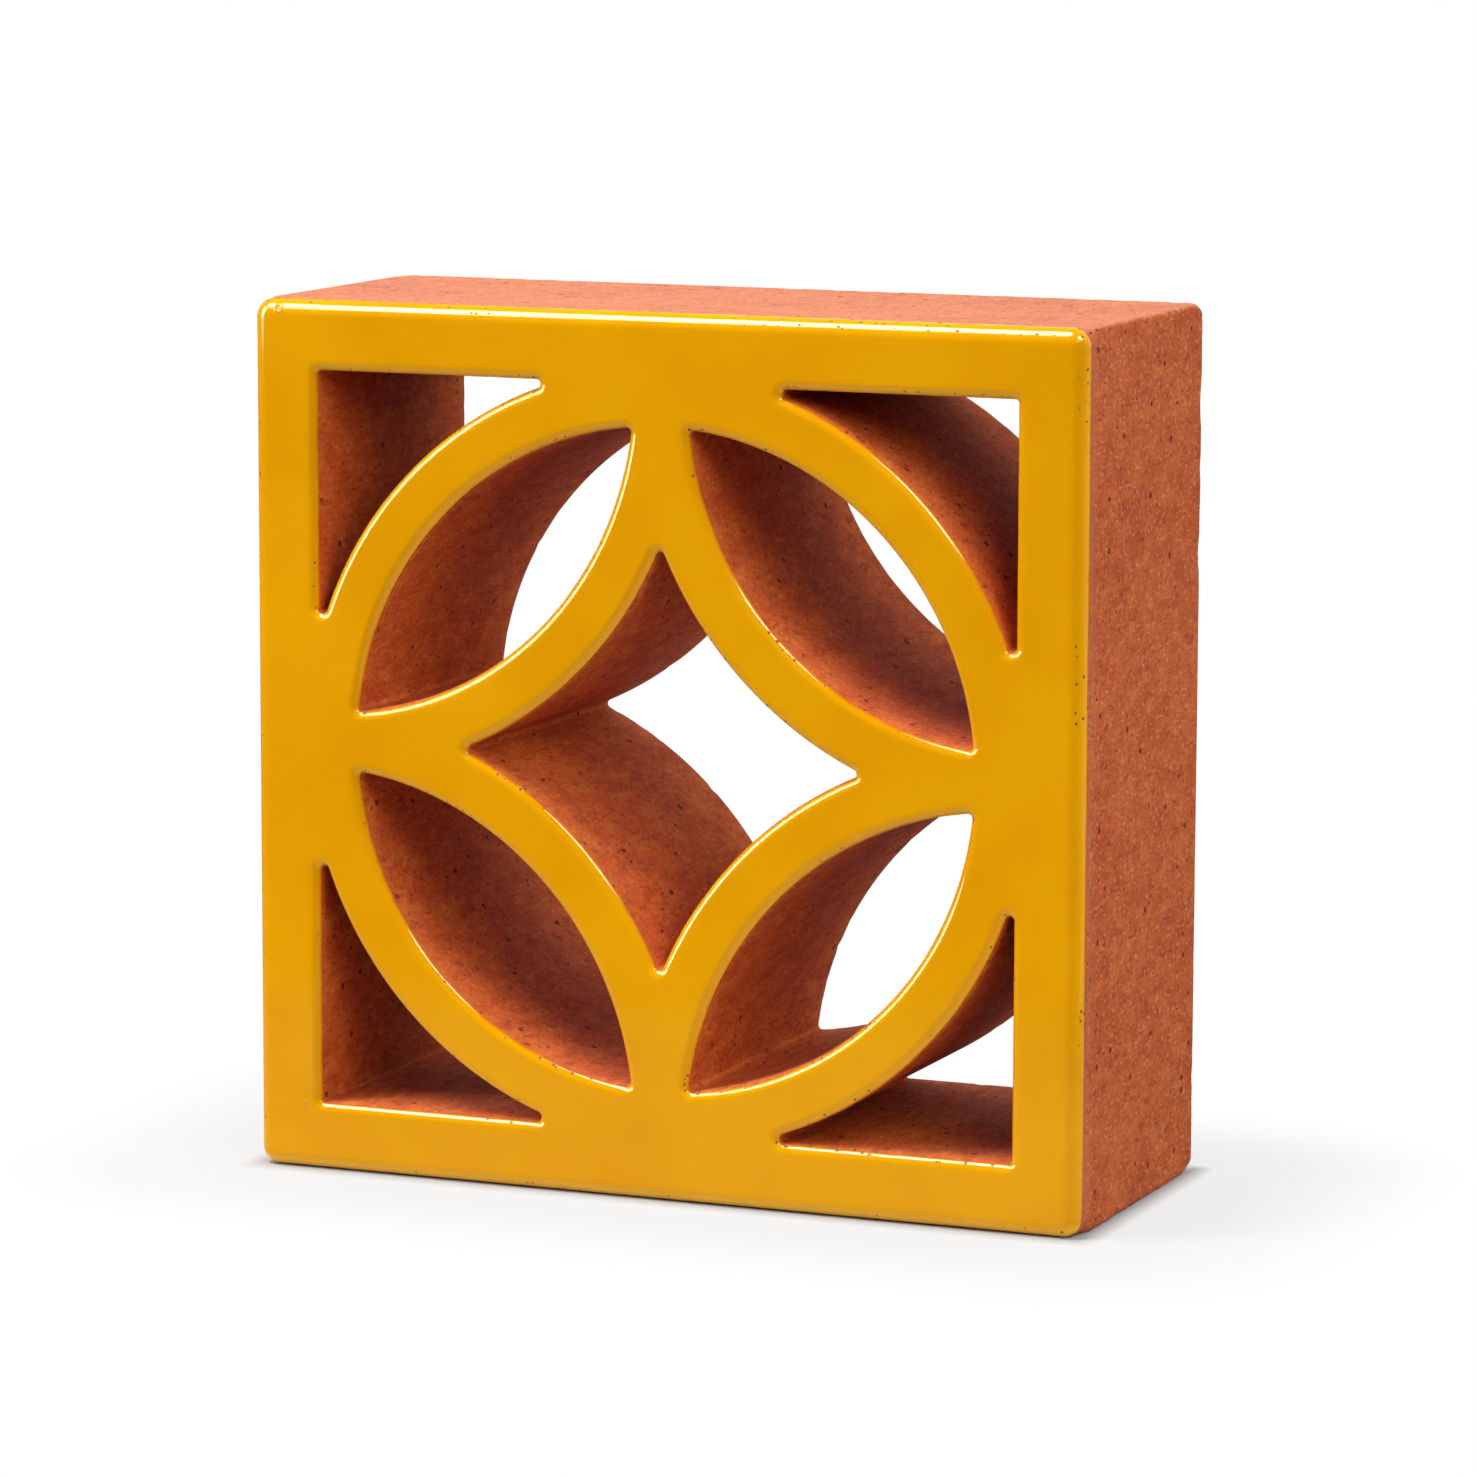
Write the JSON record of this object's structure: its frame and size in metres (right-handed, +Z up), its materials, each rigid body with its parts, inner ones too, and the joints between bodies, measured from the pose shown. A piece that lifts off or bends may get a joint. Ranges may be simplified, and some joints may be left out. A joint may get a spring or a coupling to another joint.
{
  "type": "terracotta breeze block",
  "caption": "Square terracotta screen block glazed yellow on its front, pierced by a ring of petals round a star, for open garden and facade walls.",
  "frame": {"origin": "middle of the bed face, on the ground", "axes": "+Z up; the glazed front faces -Y; +X is to the right seen from the front; the openings run along Y"},
  "size_m": [0.2, 0.08, 0.2],
  "materials": {
    "terracotta": "unglazed fired clay, matt, with fine pits",
    "yellow_glaze": "glossy mustard-yellow glaze on the front face and its rounded edges"
  },
  "bodies": {
    "root": {"block": "terracotta"}
  },
  "joints": []
}
